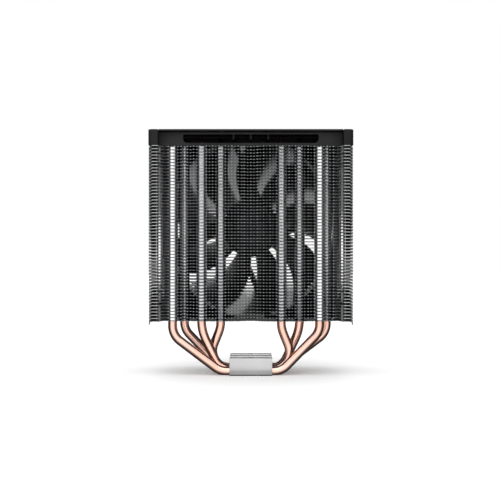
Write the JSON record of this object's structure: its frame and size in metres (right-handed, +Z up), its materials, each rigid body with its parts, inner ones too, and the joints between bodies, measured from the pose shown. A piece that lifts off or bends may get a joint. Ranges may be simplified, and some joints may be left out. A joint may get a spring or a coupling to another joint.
{
  "type": "cpu tower cooler",
  "caption": "Tower cooler for a processor: metal base, bent copper heat pipes, finned stack, black top cover and a clipped-on axial fan.",
  "frame": {"origin": "centre of the contact face on the underside of the base", "axes": "+Z up along the heat pipes, +Y from the fins towards the fan, +X along the heat pipes' runs in the base"},
  "size_m": [0.1354, 0.0782, 0.1606],
  "materials": {
    "machined_aluminium": "milled aluminium, fine lay, bright edges",
    "copper": null,
    "fin_aluminium": "stamped bare aluminium sheet",
    "cover_black": "moulded black plastic, fine texture",
    "top_plate_black": "darker, smoother black plate",
    "fan_black": "moulded black plastic",
    "blade_black": "moulded black plastic, smooth",
    "steel": "pressed electrical and bearing steel",
    "ferrite": "sintered ferrite",
    "winding": null,
    "circuit_board": "green solder mask",
    "bronze": "oil-filled sintered bronze",
    "label_grey": "plain grey foil label with no text",
    "pad_rubber": "soft moulded rubber",
    "cable_black": "black sheathed cable",
    "spring_wire": "drawn spring-steel wire"
  },
  "bodies": {
    "cooler": {"base_block": "machined_aluminium", "heat_pipe_1": "copper", "heat_pipe_2": "copper", "heat_pipe_3": "copper", "heat_pipe_4": "copper", "fin_pack_01": "fin_aluminium", "fin_pack_02": "fin_aluminium", "fin_pack_03": "fin_aluminium", "fin_pack_04": "fin_aluminium", "fin_pack_05": "fin_aluminium", "fin_pack_06": "fin_aluminium", "fin_pack_07": "fin_aluminium", "fin_pack_08": "fin_aluminium", "fin_pack_09": "fin_aluminium", "fin_pack_10": "fin_aluminium", "fin_pack_11": "fin_aluminium", "fin_pack_12": "fin_aluminium", "fin_pack_13": "fin_aluminium", "fin_pack_14": "fin_aluminium", "cover_frame": "cover_black", "top_plate": "top_plate_black", "fan_frame": "fan_black", "bearing_sleeve": "bronze", "stator_core": "steel", "stator_coil_1": "winding", "stator_coil_2": "winding", "stator_coil_3": "winding", "stator_coil_4": "winding", "motor_board": "circuit_board", "motor_label": "label_grey", "pad_top_right": "pad_rubber", "pad_top_left": "pad_rubber", "pad_bottom_right": "pad_rubber", "pad_bottom_left": "pad_rubber", "fan_cable": "cable_black", "cable_plug": "fan_black"},
    "rotor": {"impeller": "blade_black", "rotor_yoke": "steel", "magnet_ring": "ferrite", "fan_shaft": "steel", "retaining_ring": "steel"},
    "right_clip": {"clip_right": "spring_wire"},
    "left_clip": {"clip_left": "spring_wire"}
  },
  "joints": [
    {"name": "fan_spin", "type": "hinge", "parent": "cooler", "child": "rotor", "pos_m": [0, 0.0387, 0.0968], "axis": [0, 1, 0], "continuous": true},
    {"name": "right_clip_swing", "type": "hinge", "parent": "cooler", "child": "right_clip", "pos_m": [0.0525, 0.0512, 0.0968], "axis": [0, 0, 1], "range_deg": [0, 28]},
    {"name": "left_clip_swing", "type": "hinge", "parent": "cooler", "child": "left_clip", "pos_m": [-0.0525, 0.0512, 0.0968], "axis": [0, 0, -1], "range_deg": [0, 28]}
  ]
}
